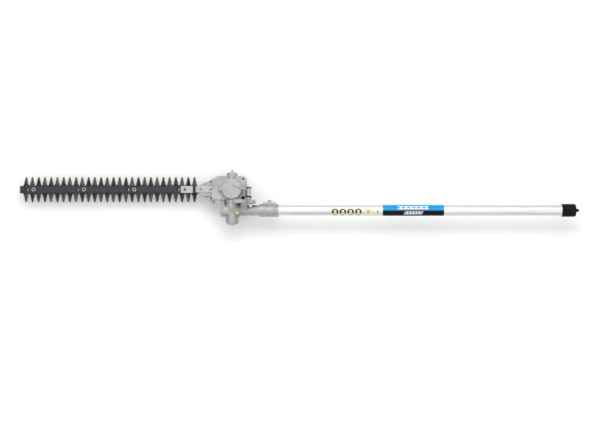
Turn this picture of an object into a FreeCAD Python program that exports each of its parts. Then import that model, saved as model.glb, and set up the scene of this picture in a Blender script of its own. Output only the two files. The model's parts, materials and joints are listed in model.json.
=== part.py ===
import FreeCAD, Part
import math
import os

# Angle-adjustable hedge trimmer attachment for a split pole tool, in millimetres.
# Origin: the pole axis at the tube's open end. +X runs along the pole towards the power head and the
# blades point along -X. +Z is up and +Y completes the frame. The blade head swivels about the pivot,
# a line along Y that crosses the pole axis.

V = FreeCAD.Vector
X, Y, Z = V(1, 0, 0), V(0, 1, 0), V(0, 0, 1)

# Pole
tube_r = 13.0
tube_wall = 1.6
tube_length = 750.0
button_hole_r = 3.1
button_hole_x = -45.0
shaft_r = 4.0
shaft_recess = 7.0
square_side = 5.6
square_length = 18.0
bush_length = 18.0
bush_count = 5
cap_grip = 30.0
cap_wall = 2.25
cap_floor = 3.6
cap_nipple_length = 7.9
cap_round = 5.0
label_length = 146.0
label_end_x = -312.0
label_skin = 0.15
icon_pitch = 18.5
icon_first_x = -572.0

# Clearances
running = 0.06
air = 0.3
slack = 0.5

# Pole-side gearcase
neck_length = 48.0
gearcase_reach = 20.0
pivot_x = -(tube_length + neck_length + gearcase_reach)
socket_depth = 43.0
collar_r = 15.5
neck_r = 12.7
body_r = 15.5
body_left = 27.3
body_cavity_r = 12.3
end_cover_thick = 3.0
boss_r = 15.0
boss_drop = 30.0
boss_cap_thick = 3.0
boss_nut_r = 6.0
boss_nut_thick = 3.0
swivel_boss_r = 17.5
swivel_boss_top = 16.3
spigot_r = 12.0
spigot_top = 26.0
clip_thick = 1.5
clip_y = 24.3
clip_lip = 1.8
washer_thick = 0.8
plug_x = 13.0
plug_y = -5.5
plug_seat_z = 14.2
bearing_r = 9.5
bearing_width = 6.0

# Gears
bevel_teeth = 14
bevel_r = 9.0
bevel_face = 4.0
crank_gear_teeth = 30
crank_gear_r = 20.0
head_pinion_teeth = 12
head_pinion_r = crank_gear_r * head_pinion_teeth / crank_gear_teeth
crank_face = 6.0
open_mesh = 3.2

# Index plate and lock plunger
plate_out_r = 57.6
plate_thick = 8.0
plate_from = -74.0
plate_to = 84.0
plunger_x = 40.0
plunger_z = 20.0
tip_r = 3.1
lock_collar_r = 5.0
lock_travel = 6.0
lock_steps = [-45.0, -22.5, 0.0, 22.5, 45.0, 67.5, 90.0]
slot_gap = 0.4
plunger_stem_r = 3.0
barrel_r = 5.5
barrel_top = 52.0
lug_r = 6.8
lug_top = 30.2
tip_groove_y = 7.0
lever_thick = 3.6
lever_half = 2.0

# Blade head
crank_y = 50.7
deck_top = -12.0
deck_bottom = -30.0
case_top = 9.0
cover_thick = 6.0
arm_left = -82.0
case_left = -47.0
case_right = 34.0
case_low_y = 24.9
case_rise = 31.3
rubber_plug_x = 26.6
rubber_plug_y = 29.6
web_right = -43.6
cap_r = 24.4
cap_thick = 15.0
cap_bearing_z = 15.0
cap_lug = 4.0
gear_room_r = 21.5
top_boss_r = 13.4
arm_bar_thick = 3.5
arm_bar_left = -87.5
arm_bar_right = -41.0
arm_bar_half = 7.4

# Cutter
pitch = 30.0
teeth_per_side = 14
tooth_reach = 30.4
tooth_tip = 4.0
tooth_base = 10.8
root_flare = 4.2
spine_half = 9.0
blade_thick = 2.2
bevel_inset = 1.3
upper_top_z = -22.6
guide_thick = 3.3
guide_half = 7.3
guide_left = -500.0
guide_right = -44.0
blade_left = -511.0
first_tooth = -481.4
bolt_first = -477.6
bolt_pitch = 121.2
bolt_count = 4
eye_offset = -17.0
eye_r = 4.0
stroke = 6.0
spacer_r = 4.0
bolt_r = 2.5
tang_half = 7.3
tang_start = -90.0
cam_r = 11.0
fork_wall = 3.6
zinc_from = -124.0
zinc_to = -95.0
zinc_thick = 2.5

# Dependent sizes
tube_in_r = tube_r - tube_wall
collar_x = -tube_length
plate_in_r = swivel_boss_r + 2.5
plate_low_y = swivel_boss_top
plate_top_y = plate_low_y + plate_thick
plunger_ring_r = math.hypot(plunger_x, plunger_z)
plunger_angle = math.degrees(math.atan2(plunger_z, plunger_x))
head_ring_y = swivel_boss_top + washer_thick + air
case_high_y = crank_y + case_rise
top_boss_y = case_high_y + 4.0
guide_top_z = upper_top_z + air + guide_thick
lower_top_z = upper_top_z - blade_thick - air
lower_bottom_z = lower_top_z - blade_thick
sweep_r = cam_r + stroke
fork_inner = sweep_r + slack
fork_base = -(sweep_r + stroke + slack)
fork_half = fork_inner + fork_wall
last_tooth = first_tooth + pitch * (teeth_per_side - 1)
mouth_end = last_tooth + tooth_base / 2 + root_flare + stroke + slack


def at(x, y, z):
    """A point measured from the pivot axis along X, and from the pole axis otherwise."""
    return V(pivot_x + x, y, z)


def cyl(r, length, base, axis):
    return Part.makeCylinder(r, length, base, axis)


def ring(outer, inner, length, base, axis):
    return cyl(outer, length, base, axis).cut(cyl(inner, length, base, axis))


def block(x0, x1, y0, y1, z0, z1):
    """A box between two corners, with X measured from the pivot axis."""
    return Part.makeBox(x1 - x0, y1 - y0, z1 - z0, at(x0, y0, z0))


def prism(points, z0, z1):
    """An outline in X from the pivot and Y, raised from z0 to z1."""
    corners = [at(x, y, z0) for x, y in points]
    return Part.Face(Part.makePolygon(corners + corners[:1])).extrude(V(0, 0, z1 - z0))


def hexagon(across, length, base, axis):
    """A hexagonal bar, with its width across the flats."""
    r = across / math.sqrt(3)
    corners = [V(r * math.cos(k * math.pi / 3), r * math.sin(k * math.pi / 3), 0) for k in range(7)]
    bar = Part.Face(Part.makePolygon(corners)).extrude(V(0, 0, length))
    bar.Placement = FreeCAD.Placement(base, FreeCAD.Rotation(Z, axis))
    return bar


def slot(x0, x1, y, r, z0, z1):
    """A slot with round ends, its end centres at x0 and x1 from the pivot."""
    ends = [cyl(r, z1 - z0, at(x, y, z0), Z) for x in (x0, x1)]
    return ends[0].fuse([ends[1], block(x0, x1, y - r, y + r, z0, z1)])


def fused(shapes):
    return shapes[0].multiFuse(shapes[1:]).removeSplitter()


def sector(r_in, r_out, y0, y1, a0, a1):
    """Part of a flat ring about the pivot axis. Angles run from +X towards +Z."""
    corners = [at(r_in, y0, 0), at(r_out, y0, 0), at(r_out, y1, 0), at(r_in, y1, 0)]
    face = Part.Face(Part.makePolygon(corners + corners[:1]))
    face.rotate(at(0, 0, 0), -Y, a0)
    return face.revolve(at(0, 0, 0), -Y, a1 - a0)


def around_pivot(r, angle, y):
    turn = math.radians(angle)
    return at(r * math.cos(turn), y, r * math.sin(turn))


def socket_screw(head_r, head_h, bolt_radius, length, seat, axis):
    """A cap screw whose head stands on seat, its shank running back along -axis."""
    key = hexagon(head_r * 1.1, head_h * 0.7, seat + axis * (head_h * 0.3), axis)
    head = cyl(head_r, head_h, seat, axis).cut(key)
    return head.fuse(cyl(bolt_radius, length, seat, -axis)).removeSplitter()


def bearing(base, axis, bore_r):
    """A ball bearing with a shallow groove between its two rings on each face."""
    body = ring(bearing_r, bore_r, bearing_width, base, axis)
    for start in (base, base + axis * (bearing_width - 0.6)):
        body = body.cut(ring(bearing_r - 1.8, bore_r + 1.6, 0.6, start, axis))
    return body


def bevel_gear(r, mate_r, teeth, face, phase, hub_r, hub_length):
    """A straight bevel gear about Z with its apex at the origin. Phase turns it in tooth steps."""
    module = 2 * r / teeth
    cone = math.hypot(r, mate_r)
    sin_d, cos_d = r / cone, mate_r / cone
    toe = (cone - face) / cone
    root = 1.2 * module
    heel_z, heel_r = mate_r + root * sin_d, r - root * cos_d
    outline = [(shaft_r, heel_z * toe), (heel_r * toe, heel_z * toe), (heel_r, heel_z)]
    outline += [(hub_r, heel_z + 0.5), (hub_r, heel_z + hub_length), (shaft_r, heel_z + hub_length)]
    corners = [V(a, 0, b) for a, b in outline]
    gear = Part.Face(Part.makePolygon(corners + corners[:1])).revolve(V(0, 0, 0), Z, 360)
    arc = 2 * math.pi * r / teeth
    profile = [(-root * 1.2, -0.25 * arc), (0.8 * module, -0.09 * arc)]
    profile += [(height, -across) for height, across in reversed(profile)]
    wires = []
    for scale in (1.0, toe):
        points = []
        for height, across in profile:
            out = (r + height * cos_d) * scale
            points.append(V(out, across * scale, (mate_r - height * sin_d) * scale))
        wires.append(Part.makePolygon(points + points[:1]))
    tooth = Part.makeLoft(wires, True, True)
    step = 360.0 / teeth
    copies = []
    for k in range(teeth):
        copy = tooth.copy()
        copy.rotate(V(0, 0, 0), Z, (k + phase) * step)
        copies.append(copy)
    return fused([gear] + copies)


def placed(shape, apex, across, axis):
    """Put a gear with its apex at a point, its axis along axis and its first tooth along across."""
    shape.Placement = FreeCAD.Placement(apex, FreeCAD.Rotation(across, axis.cross(across), axis, "ZXY"))
    return shape


# ---- Pole ----


def pole_tube():
    tube = ring(tube_r, tube_in_r, tube_length, V(-tube_length, 0, 0), X)
    tube = tube.cut(cyl(button_hole_r, 2 * tube_r, V(button_hole_x, 0, 0), -Z))
    return tube.cut(cyl(button_hole_r, 2 * tube_r, V(locating_x(), 0, 0), Y))


def locating_x():
    return collar_x + socket_depth / 2


def bush_places():
    first, last = -60.0, collar_x + bush_length + 12.0
    return [first + (last - first) * k / (bush_count - 1) for k in range(bush_count)]


def shaft_bushes():
    bushes = [ring(tube_in_r, shaft_r + running, bush_length, V(x - bush_length, 0, 0), X)
              for x in bush_places()]
    return Part.makeCompound(bushes)


def end_cap():
    outer_r = tube_r + running + cap_wall
    floor_x = air + cap_floor
    cup = cyl(outer_r, cap_grip + floor_x, V(-cap_grip, 0, 0), X)
    cup = cup.makeFillet(cap_round, [e for e in cup.Edges if abs(e.CenterOfMass.x - floor_x) < 0.01])
    cup = cup.cut(cyl(tube_r + running, cap_grip + air, V(-cap_grip, 0, 0), X))
    return cup.fuse(Part.makeCone(5.0, 2.2, cap_nipple_length, V(floor_x, 0, 0), X)).removeSplitter()


def pole_label():
    return ring(tube_r + label_skin, tube_r, label_length, V(label_end_x - label_length, 0, 0), X)


def icon_stickers():
    """Four round, one square and one triangular warning shape, on the side of the tube that faces up."""
    skin = ring(tube_r + label_skin, tube_r, 8 * icon_pitch, V(icon_first_x - icon_pitch, 0, 0), X)
    outlines = []
    for k in range(4):
        outlines.append(cyl(8.2, 2 * tube_r, V(icon_first_x + k * icon_pitch, -3.6, 0), Z))
    square_x = icon_first_x + 4.3 * icon_pitch
    outlines.append(Part.makeBox(17, 17, 2 * tube_r, V(square_x - 8.5, -12.1, 0)))
    peak = icon_first_x + 5.5 * icon_pitch
    corners = [V(peak - 9.5, -11.8, 0), V(peak + 9.5, -11.8, 0), V(peak, 4.6, 0)]
    outlines.append(Part.Face(Part.makePolygon(corners + corners[:1])).extrude(V(0, 0, 2 * tube_r)))
    return Part.makeCompound([skin.common(outline) for outline in outlines])


# ---- Drive train in the pole ----


def input_end_x():
    """Where the drive shaft ends behind the input pinion's small end."""
    toe = 1 - bevel_face / math.hypot(bevel_r, bevel_r)
    return bevel_r * toe + open_mesh + 1.0


def drive_shaft():
    start = pivot_x + input_end_x()
    shoulder = -(shaft_recess + square_length)
    rod = cyl(shaft_r, shoulder - start, V(start, 0, 0), X)
    half = square_side / 2
    end = Part.makeBox(square_length, square_side, square_side, V(shoulder, -half, -half))
    return rod.fuse(end).removeSplitter()


def input_pinion():
    gear = bevel_gear(bevel_r, bevel_r, bevel_teeth, bevel_face, 0, 6.5, 5.0)
    return placed(gear, at(open_mesh, 0, 0), -Y, X)


def input_bearing_places():
    return [gearcase_reach + 2, gearcase_reach + neck_length - 10]


def input_bearings():
    return Part.makeCompound([bearing(at(x, 0, 0), X, shaft_r + running) for x in input_bearing_places()])


# ---- Pole-side gearcase ----


def gearcase_outside():
    body_from = end_cover_thick - body_left
    body = cyl(body_r, gearcase_reach - body_from, at(body_from, 0, 0), X)
    boss = cyl(boss_r, boss_drop, at(0, 0, 0), -Y)
    swivel = cyl(swivel_boss_r, swivel_boss_top, at(0, 0, 0), Y)
    spigot = cyl(spigot_r, spigot_top, at(0, 0, 0), Y)
    neck = cyl(neck_r, neck_length + 1, at(gearcase_reach - 1, 0, 0), X)
    collar = cyl(collar_r, socket_depth + 2, V(collar_x - 2, 0, 0), X)
    pad = block(swivel_boss_r + 3.5, 36, 0, plate_low_y, -14, 14)
    locating_pad = Part.makeBox(30, 10, 12, V(locating_x() - 15, tube_r - 3.6, -6))
    lugs = Part.makeBox(34, 18, 14, V(locating_x() - 17, -9, -tube_r - 11))
    return fused([body, boss, swivel, spigot, neck, collar, pad, locating_pad, lugs])


def pole_gearcase():
    case = gearcase_outside()
    rooms = [cyl(body_cavity_r, gearcase_reach - 2, at(0, 0, 0), X)]
    rooms.append(stub_step())
    groove = tip_r + slack
    rooms.append(sector(plunger_ring_r - groove, plunger_ring_r + groove, tip_groove_y, neck_r + 1, -20, 20))
    rooms.append(cyl(shaft_r + 1.5, neck_length + 4, at(gearcase_reach - 3, 0, 0), X))
    rooms.append(cyl(bearing_r, input_bearing_places()[0] + bearing_width - gearcase_reach + 3,
                     at(gearcase_reach - 3, 0, 0), X))
    rooms.append(cyl(bearing_r, neck_length, at(input_bearing_places()[1], 0, 0), X))
    rooms.append(cyl(tube_r, socket_depth + 1, V(collar_x, 0, 0), X))
    rooms.append(cyl(body_cavity_r, 16, at(0, 0, 0), -Y))
    rooms.append(cyl(bearing_r, boss_drop, at(0, 0, 0), -Y))
    rooms.append(cyl(shaft_r + 2, spigot_top, at(0, 0, 0), Y))
    rooms.append(cyl(bearing_r, bearing_width + 4, at(0, spigot_top - bearing_width - 4, 0), Y))
    rooms.append(ring(spigot_r + 1, spigot_r - 1, clip_thick, at(0, clip_y, 0), Y))
    rooms.append(Part.makeBox(socket_depth + 2, 2.4, 20, V(collar_x, -1.2, -tube_r - 14)))
    rooms.append(cyl(2.9, 14, V(locating_x(), tube_r - 3, 0), Y))
    rooms += [cyl(2.5, 30, V(x, -15, clamp_bolt_z()), Y) for x in clamp_bolt_places()]
    rooms += [cyl(2.0, 8, at(x, plate_low_y - 8, z), Y) for x, z in plate_bolt_places()]
    rooms.append(cyl(2.9, 8, at(plug_x, plug_y, 9.6), Z))
    rooms.append(cyl(5.2, 5, at(plug_x, plug_y, plug_seat_z), Z))
    return case.cut(rooms)


def stub_step():
    """The flat above the gearcase's left stub, which leaves room beside the swivel boss."""
    return block(-body_left - 5, -swivel_boss_r - air, 0.5, body_r + 1, -body_r - 1, body_r + 1)


def clamp_bolt_places():
    return [locating_x() - 9, locating_x() + 9]


def clamp_bolt_z():
    return -(tube_r + 6.0)


def plate_bolt_places():
    return [(30, -9), (30, 9)]


def clamp_bolts():
    """Two cap screws across the clamp's split, each with its nut."""
    bolts = []
    for x in clamp_bolt_places():
        bolts.append(socket_screw(4.2, 4.5, 2.5, 22.5, V(x, 9, clamp_bolt_z()), Y))
        nut = hexagon(8, 4, V(x, -13, clamp_bolt_z()), Y)
        bolts.append(nut.cut(cyl(2.5, 8, V(x, -15, clamp_bolt_z()), Y)))
    return Part.makeCompound(bolts)


def locating_screw():
    top = tube_r + 6.4
    return socket_screw(4.2, 5.0, 2.9, top - tube_in_r, V(locating_x(), top, 0), Y)


def end_cover():
    start = at(-body_left, 0, 0)
    disc = cyl(body_r, end_cover_thick, start, X)
    disc = disc.makeChamfer(0.8, [e for e in disc.Edges if abs(e.CenterOfMass.x - start.x) < 0.01])
    holes = [cyl(1.5, end_cover_thick, at(-body_left, y, z), X) for y, z in guard_screw_places()]
    return disc.cut(holes + [stub_step()])


def guard_screw_places():
    return [(-3.5, 6.0), (-3.5, -6.0)]


def twig_guard():
    """A folded sheet that fills the corner between the gearcase and the blade head."""
    sheet, half = 2.2, 11.0
    outer = -body_left - sheet
    upright = block(outer, -body_left, -9, plate_top_y - 0.7, -half, half)
    shelf = block(-42, outer, plate_top_y - 0.7 - sheet, plate_top_y - 0.7, -half, half)
    low = plate_top_y - 0.7 - sheet
    rib = prism([(-40, low), (outer, low), (outer, low - 10)], -1.1, 1.1)
    guard = fused([upright, shelf, rib])
    return guard.cut([cyl(1.5, sheet, at(outer, y, z), X) for y, z in guard_screw_places()])


def twig_guard_screws():
    seat = -body_left - 2.2
    screws = [socket_screw(3.0, 2.6, 1.5, 5.2, at(seat, y, z), -X) for y, z in guard_screw_places()]
    return Part.makeCompound(screws)


def boss_cap():
    disc = cyl(boss_r - 1.5, boss_cap_thick, at(0, -boss_drop, 0), -Y)
    end_y = -boss_drop - boss_cap_thick
    notches = [block(side * 11 - 1.5, side * 11 + 1.5, end_y, end_y + 1.6, -16, 16) for side in (-1, 1)]
    return disc.cut(notches)


def boss_nut():
    return hexagon(2 * boss_nut_r, boss_nut_thick, at(0, -boss_drop - boss_cap_thick, 0), -Y)


def grease_plug():
    seat = at(plug_x, plug_y, plug_seat_z)
    return hexagon(8.4, 3.6, seat, Z).fuse(cyl(2.9, 4.0, seat, -Z)).removeSplitter()


def thrust_washer():
    return ring(swivel_boss_r + 1, spigot_r, washer_thick, at(0, swivel_boss_top, 0), Y)


def swivel_clip():
    """The circlip that holds the blade head on the gearcase's spigot."""
    clip = ring(spigot_r + clip_lip, spigot_r - 1, clip_thick, at(0, clip_y, 0), Y)
    return clip.cut(block(-spigot_r - 4, 0, clip_y, clip_y + clip_thick, -2, 2))


def index_plate():
    """The quadrant that the lock plunger drops into, with one notch for each working angle."""
    plate = sector(plate_in_r, plate_out_r, plate_low_y, plate_top_y, plate_from, plate_to)
    ends = [plunger_angle - lock_steps[-1], plunger_angle - lock_steps[0]]
    half = tip_r + slot_gap
    y0, y1 = plate_low_y, plate_top_y
    cuts = [sector(plunger_ring_r - half, plunger_ring_r + half, y0, y1, ends[0], ends[1])]
    for step in lock_steps:
        place = around_pivot(plunger_ring_r, plunger_angle - step, y0)
        cuts.append(cyl(lock_collar_r + slot_gap, plate_thick, place, Y))
    for x, z in plate_bolt_places():
        cuts.append(cyl(2.0, plate_thick, at(x, y0, z), Y))
        cuts.append(cyl(3.4, 3.5, at(x, y1 - 3.5, z), Y))
    return plate.cut(cuts)


def index_plate_bolts():
    seat_y = plate_top_y - 3.5
    return Part.makeCompound([socket_screw(3.4, 3.3, 2.0, 12.0, at(x, seat_y, z), Y)
                              for x, z in plate_bolt_places()])


# ---- Swivel shaft, which carries the drive up through the pivot ----


def swivel_shaft():
    top = crank_y - crank_gear_r * (1 - crank_face / math.hypot(crank_gear_r, head_pinion_r))
    low = boss_drop - 2
    return cyl(shaft_r, top + low, at(0, -low, 0), Y)


def swivel_bevel():
    gear = bevel_gear(bevel_r, bevel_r, bevel_teeth, bevel_face, 0.5, 6.5, 5.0)
    return placed(gear, at(0, 0, 0), X, -Y)


def head_pinion():
    gear = bevel_gear(head_pinion_r, crank_gear_r, head_pinion_teeth, crank_face, 0.5, 5.5, 1.4)
    return placed(gear, at(0, crank_y, 0), Z, -Y)


def swivel_bearings():
    bore = shaft_r + running
    low = bearing(at(0, -boss_drop + 2, 0), Y, bore)
    high = bearing(at(0, spigot_top - bearing_width - 4, 0), Y, bore)
    return Part.makeCompound([low, high])


# ---- Blade head ----


def deck_outline():
    """The lower deck of the head: a pointed arm to the left, square behind the crank."""
    arm = [(arm_left, crank_y + 8.6), (-32.8, case_high_y), (case_right - 5, case_high_y)]
    rear = [(case_right, case_high_y - 5), (case_right, case_low_y), (web_right, case_low_y)]
    web = [(web_right, case_low_y - 8.4), (web_right - 3, case_low_y - 8.4), (-68.7, crank_y - 20.1),
           (-69.9, crank_y - 16)]
    return arm + rear + web + [(arm_left, crank_y - 9.4)]


def case_outline():
    front = [(case_left, case_low_y), (case_left, case_high_y - 6.7), (-32.8, case_high_y)]
    rear = [(case_right - 5, case_high_y), (case_right, case_high_y - 5), (case_right, case_low_y)]
    return front + rear


def upright_edges(shape):
    return [e for e in shape.Edges if len(e.Vertexes) == 2
            and abs(e.Vertexes[0].X - e.Vertexes[1].X) + abs(e.Vertexes[0].Y - e.Vertexes[1].Y) < 0.01]


def case_screw_places():
    """X and Y of the screws that hold the head together, with the height of each one's seat."""
    places = [(-51.2, crank_y + 18.6, deck_top), (-51.2, crank_y - 21.2, deck_top)]
    return places + [(case_right - 7.8, case_high_y - 7.5, case_top - 3.2)]


def cover_screw_places():
    return [(-44, crank_y + 20.3), (-44, crank_y - 21.2), (25, crank_y + 11.3), (25, case_low_y + 6.1)]


def arm_screw_places():
    return [(-51.0, 3.6), (-75.4, 3.0)]


def head_gearcase():
    deck = prism(deck_outline(), deck_bottom, deck_top)
    deck = deck.makeFillet(1.5, upright_edges(deck))
    case = prism(case_outline(), deck_top - 1, case_top)
    case = case.makeFillet(3.0, upright_edges(case))
    swivel_ring = cyl(swivel_boss_r + 1.5, crank_y - cap_r - 0.1 - head_ring_y, at(0, head_ring_y, 0), Y)
    lug_height = lug_top - case_low_y - 0.1
    lug_y = case_low_y + 0.1
    lug = cyl(lug_r, lug_height, at(plunger_x, lug_y, plunger_z), Y)
    bridge = block(case_right - 3, plunger_x, lug_y, lug_top, case_top - 8, plunger_z)
    boss_y = crank_y + cap_r + air
    boss = cyl(top_boss_r, top_boss_y - boss_y, at(0, boss_y, 0), Y)
    boss = boss.fuse(block(-top_boss_r, top_boss_r, boss_y, top_boss_y, deck_top, 0))
    rib = block(26, 30.5, crank_y - 16.7, crank_y - 2.2, case_top, case_top + 7)
    head = fused([deck, case, swivel_ring, lug, bridge, boss, rib])
    return head.cut(head_rooms())


def head_rooms():
    """Everything cut out of the head casting."""
    rooms = [cyl(spigot_r + running, clip_y - head_ring_y + 1, at(0, head_ring_y - 1, 0), Y)]
    rooms.append(cyl(spigot_r + clip_lip + slack, spigot_top - clip_y + 2 * air, at(0, clip_y - air, 0), Y))
    rooms.append(cyl(head_pinion_r + 2, crank_y - 10.2 - spigot_top, at(0, spigot_top, 0), Y))
    rooms.append(cyl(gear_room_r, case_top + 2, at(0, crank_y, -2), Z))
    rooms.append(cyl(bearing_r, 12, at(0, crank_y, deck_top), Z))
    rooms.append(cyl(shaft_r + slack, 12, at(0, crank_y, deck_top - 10), Z))
    rooms.append(block(fork_base - stroke - 7, sweep_r + slack, crank_y - fork_half - slack,
                       crank_y + fork_half + slack, deck_bottom, guide_top_z))
    rooms.append(block(arm_left - 1, fork_base, crank_y - 8.3, crank_y + 8.3, deck_bottom, guide_top_z))
    rooms.append(arm_bar_blank())
    rooms.append(bar_recess())
    rooms.append(block(arm_left - 1, mouth_end, crank_y - spine_half - 4, crank_y + spine_half + 4,
                       lower_bottom_z - air, upper_top_z + air))
    rooms.append(block(-67, -49, crank_y - 18.9, crank_y - 16.5, deck_top - 5, deck_top))
    rooms.append(cyl(lock_collar_r + running, 20, at(plunger_x, case_low_y - 1, plunger_z), Y))
    for x, y, seat in case_screw_places():
        rooms.append(cyl(2.5, 60, at(x, y, deck_bottom), Z))
        rooms.append(cyl(4.3, 8, at(x, y, seat), Z))
    rooms += [cyl(2.0, 12, at(x, y, deck_bottom), Z) for x, y in cover_screw_places()]
    rooms += [cyl(2.5, 20, at(x, crank_y, guide_top_z), Z) for x, head in arm_screw_places()]
    rooms.append(cyl(3.0, 3, at(rubber_plug_x, rubber_plug_y, case_top - 3), Z))
    return rooms


def arm_bar_blank():
    """The bar's outline, with a round rear end that is let into the case wall."""
    top = deck_top + arm_bar_thick
    y0, y1 = crank_y - arm_bar_half, crank_y + arm_bar_half
    end = cyl(arm_bar_half, arm_bar_thick, at(arm_bar_right - arm_bar_half, crank_y, deck_top), Z)
    bar = block(arm_bar_left, arm_bar_right - arm_bar_half, y0, y1, deck_top, top)
    return bar.fuse(end).removeSplitter()


def bar_recess():
    """The case wall stands back round the bar's end, so the bar can be lifted straight out."""
    low = deck_top + arm_bar_thick
    return cyl(arm_bar_half + slack, case_top - low + 1, at(arm_bar_right - arm_bar_half, crank_y, low), Z)


def arm_bar():
    return arm_bar_blank().cut([cyl(2.5, 20, at(x, crank_y, deck_top - 2), Z)
                                for x, head in arm_screw_places()])


def arm_screws():
    seat = deck_top + arm_bar_thick
    length = seat - guide_top_z + guide_thick
    return Part.makeCompound([socket_screw(head, 2.6, 2.5, length, at(x, crank_y, seat), Z)
                              for x, head in arm_screw_places()])


def base_cover():
    low = deck_bottom - cover_thick
    plate = prism(deck_outline(), low, deck_bottom)
    plate = plate.makeFillet(1.5, upright_edges(plate))
    holes = [cyl(2.5, cover_thick, at(x, y, low), Z) for x, y, seat in case_screw_places()]
    for x, y in cover_screw_places():
        holes.append(cyl(2.0, cover_thick, at(x, y, low), Z))
        holes.append(cyl(4.0, 3.2, at(x, y, low), Z))
    return plate.cut(holes)


def case_screws():
    low = deck_bottom - cover_thick
    return Part.makeCompound([socket_screw(4.2, 3.0, 2.5, seat - low - 0.5, at(x, y, seat), Z)
                              for x, y, seat in case_screw_places()])


def cover_screws():
    seat_z = deck_bottom - cover_thick + 3.2
    return Part.makeCompound([socket_screw(3.8, 3.0, 2.0, 12.0, at(x, y, seat_z), -Z)
                              for x, y in cover_screw_places()])


def wear_plate():
    """A hard strip under the blades' tangs."""
    return block(arm_left, fork_base - stroke - 7.5, crank_y - 8.2, crank_y + 8.2,
                 deck_bottom, lower_bottom_z - air)


def crank_cap():
    """The round cover over the crank gear, with the upper bearing in its hub."""
    disc = cyl(cap_r, cap_thick, at(0, crank_y, case_top), Z)
    rim = [e for e in disc.Edges if abs(e.CenterOfMass.z - case_top - cap_thick) < 0.01]
    disc = disc.makeFillet(2.0, rim)
    lug_low, lug_high = case_top + cap_thick - 10, case_top + cap_thick - 1
    disc = disc.fuse(block(-cap_r - cap_lug, 3 - cap_r, crank_y - 4.2, crank_y + 4.2, lug_low, lug_high))
    room = cyl(gear_room_r, cap_bearing_z - 0.8 - case_top, at(0, crank_y, case_top), Z)
    seat = cyl(bearing_r, cap_bearing_z + bearing_width - case_top, at(0, crank_y, case_top), Z)
    end_room = cyl(shaft_r + 1, cap_thick - 1.5, at(0, crank_y, case_top), Z)
    return disc.cut([room, seat, end_room])


def top_cap():
    disc = cyl(top_boss_r - 0.8, 3.6, at(0, top_boss_y, 0), Y)
    return disc.makeChamfer(0.8, [e for e in disc.Edges if abs(e.CenterOfMass.y - top_boss_y - 3.6) < 0.01])


def nipple(seat, axis):
    """A grease nipple: a hexagon, a tapered neck and a flat-ended button."""
    base = hexagon(7, 3.0, seat, axis)
    neck = Part.makeCone(2.6, 1.3, 2.0, seat + axis * 3.0, axis)
    return fused([base, neck, cyl(1.9, 2.4, seat + axis * 4.9, axis)])


def grease_nipples():
    top = nipple(at(0, top_boss_y + 3.6, 0), Y)
    side = nipple(at(-cap_r - cap_lug, crank_y, case_top + cap_thick - 5), -X)
    return Part.makeCompound([top, side])


def rubber_plug():
    seat = at(rubber_plug_x, rubber_plug_y, case_top)
    return cyl(4.0, 2.0, seat, Z).fuse(cyl(3.0, 3.0, seat, -Z)).removeSplitter()


# ---- Lock plunger ----


def tip_y():
    """The plunger's low end, clear of the neck that it passes over when the head swivels."""
    return neck_r + 0.8


def lever_arm():
    low = barrel_top - 0.4 - lever_thick
    return block(plunger_x - 14.5, plunger_x + 3.2, low, low + lever_thick,
                 plunger_z - lever_half, plunger_z + lever_half)


def lock_pin():
    seat_y = plate_top_y + air
    tip = cyl(tip_r, seat_y - tip_y(), at(plunger_x, tip_y(), plunger_z), Y)
    tip = tip.makeChamfer(0.8, [e for e in tip.Edges if abs(e.CenterOfMass.y - tip_y()) < 0.01])
    collar = cyl(lock_collar_r, lug_top - 0.2 - seat_y, at(plunger_x, seat_y, plunger_z), Y)
    stem = cyl(plunger_stem_r, barrel_top - 0.4 - seat_y, at(plunger_x, seat_y, plunger_z), Y)
    return fused([tip, collar, stem]).cut(lever_arm())


def lock_lever():
    """A bolt-action lever: through the plunger, out of the barrel's slot, up and over the crank cap."""
    low = barrel_top - 0.4 - lever_thick
    reach = plunger_x - 14.5
    post = block(reach, reach + 4, low, low + lever_thick, plunger_z - lever_half, 31)
    finger = cyl(5.2, 4.0, at(9.5, low + 14.5, 27), Z)
    link = prism([(reach, low), (reach + 4, low), (reach + 4, low + lever_thick), (13.5, low + 17),
                  (9.0, low + 10.8), (17.0, low + 5.6)], 27, 31)
    return fused([lever_arm(), post, link, finger])


def plunger_barrel():
    """The plunger's housing: a spring chamber below, and a slot on one side for the lever."""
    height = barrel_top - lug_top
    outside = cyl(barrel_r, height, at(plunger_x, lug_top, plunger_z), Y)
    room = cyl(plunger_stem_r + 1.3, 5.5, at(plunger_x, lug_top, plunger_z), Y)
    bore = cyl(plunger_stem_r + running, height, at(plunger_x, lug_top, plunger_z), Y)
    low = barrel_top - 0.4 - lever_thick - lock_travel - slack
    gate = block(plunger_x - 8, plunger_x + 3.2 + slack, low, barrel_top, plunger_z - lever_half - slack,
                 plunger_z + lever_half + slack)
    return outside.cut([room, bore, gate])


def plunger_nut():
    return hexagon(11, 3.0, at(plunger_x, barrel_top, plunger_z), Y)


def plunger_boot():
    return ring(barrel_r + 0.9, barrel_r, 3.4, at(plunger_x, lug_top, plunger_z), Y)


def plunger_spring():
    mid_r = plunger_stem_r + 0.68
    path = Part.makeHelix(1.5, 4.2, mid_r)
    section = Part.Wire(Part.makeCircle(0.42, V(mid_r, 0, 0), Y))
    coil = Part.Wire(path).makePipeShell([section], True, True)
    coil.Placement = FreeCAD.Placement(at(plunger_x, lug_top + 0.6, plunger_z), FreeCAD.Rotation(Z, Y))
    return coil


# ---- Crank ----


def crank_shaft():
    low = lower_bottom_z - 0.4
    return cyl(shaft_r, cap_bearing_z + bearing_width + 0.5 - low, at(0, crank_y, low), Z)


def crank_gear():
    gear = bevel_gear(crank_gear_r, head_pinion_r, crank_gear_teeth, crank_face, 0, 9, 2.6)
    return placed(gear, at(0, crank_y, 0), -Y, Z)


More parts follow.
